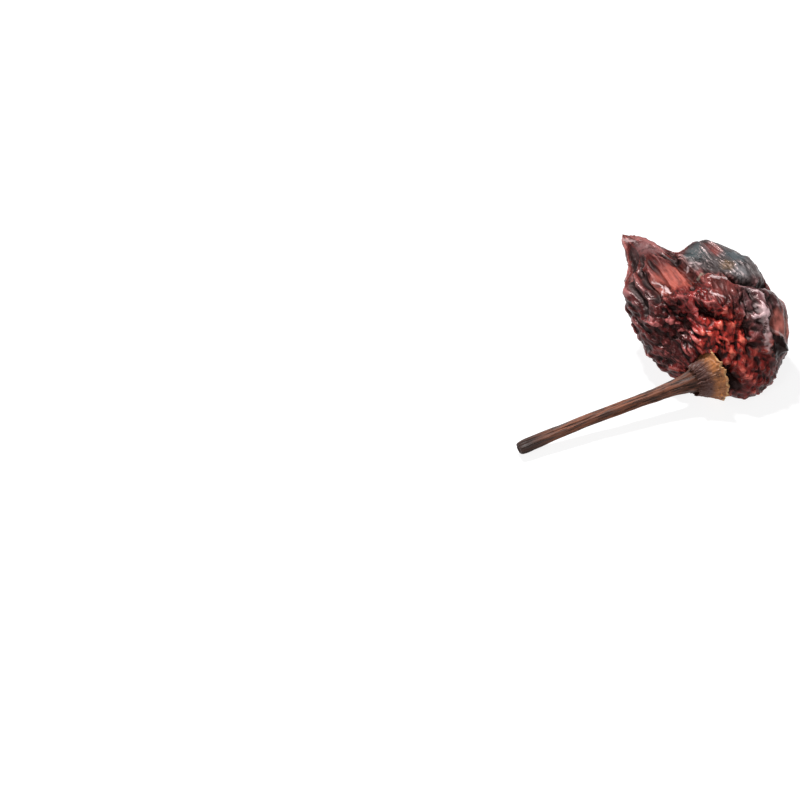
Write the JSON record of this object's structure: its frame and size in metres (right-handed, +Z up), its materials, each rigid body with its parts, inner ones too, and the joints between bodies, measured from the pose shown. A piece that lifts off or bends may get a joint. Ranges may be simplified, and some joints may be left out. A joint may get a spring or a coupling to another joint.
{
  "type": "dried ghost pepper",
  "caption": "Collapsed, deeply wrinkled dried chilli pod with a pointed tip, its cap-like calyx and a long ribbed stem, lying on its side.",
  "frame": {"origin": "on the surface that the pepper lies on, at the middle of the flat rest spot under the pod", "axes": "+Z up, +X to the right and away from the cut end of the stem, +Y to the back, towards the tip"},
  "size_m": [0.0605, 0.0569, 0.0236],
  "materials": {
    "pod_skin": "dark red to maroon dried skin, glossy on the ridges, near-black in the folds, grey on the back lobe",
    "calyx_tissue": "matt golden-brown dry tissue with a pale ragged rim",
    "stem_bark": "satin dark brown dry stalk, ribbed lengthways, near-black at the cut end"
  },
  "bodies": {
    "root": {"pod": "pod_skin", "calyx": "calyx_tissue", "stem": "stem_bark"}
  },
  "joints": []
}
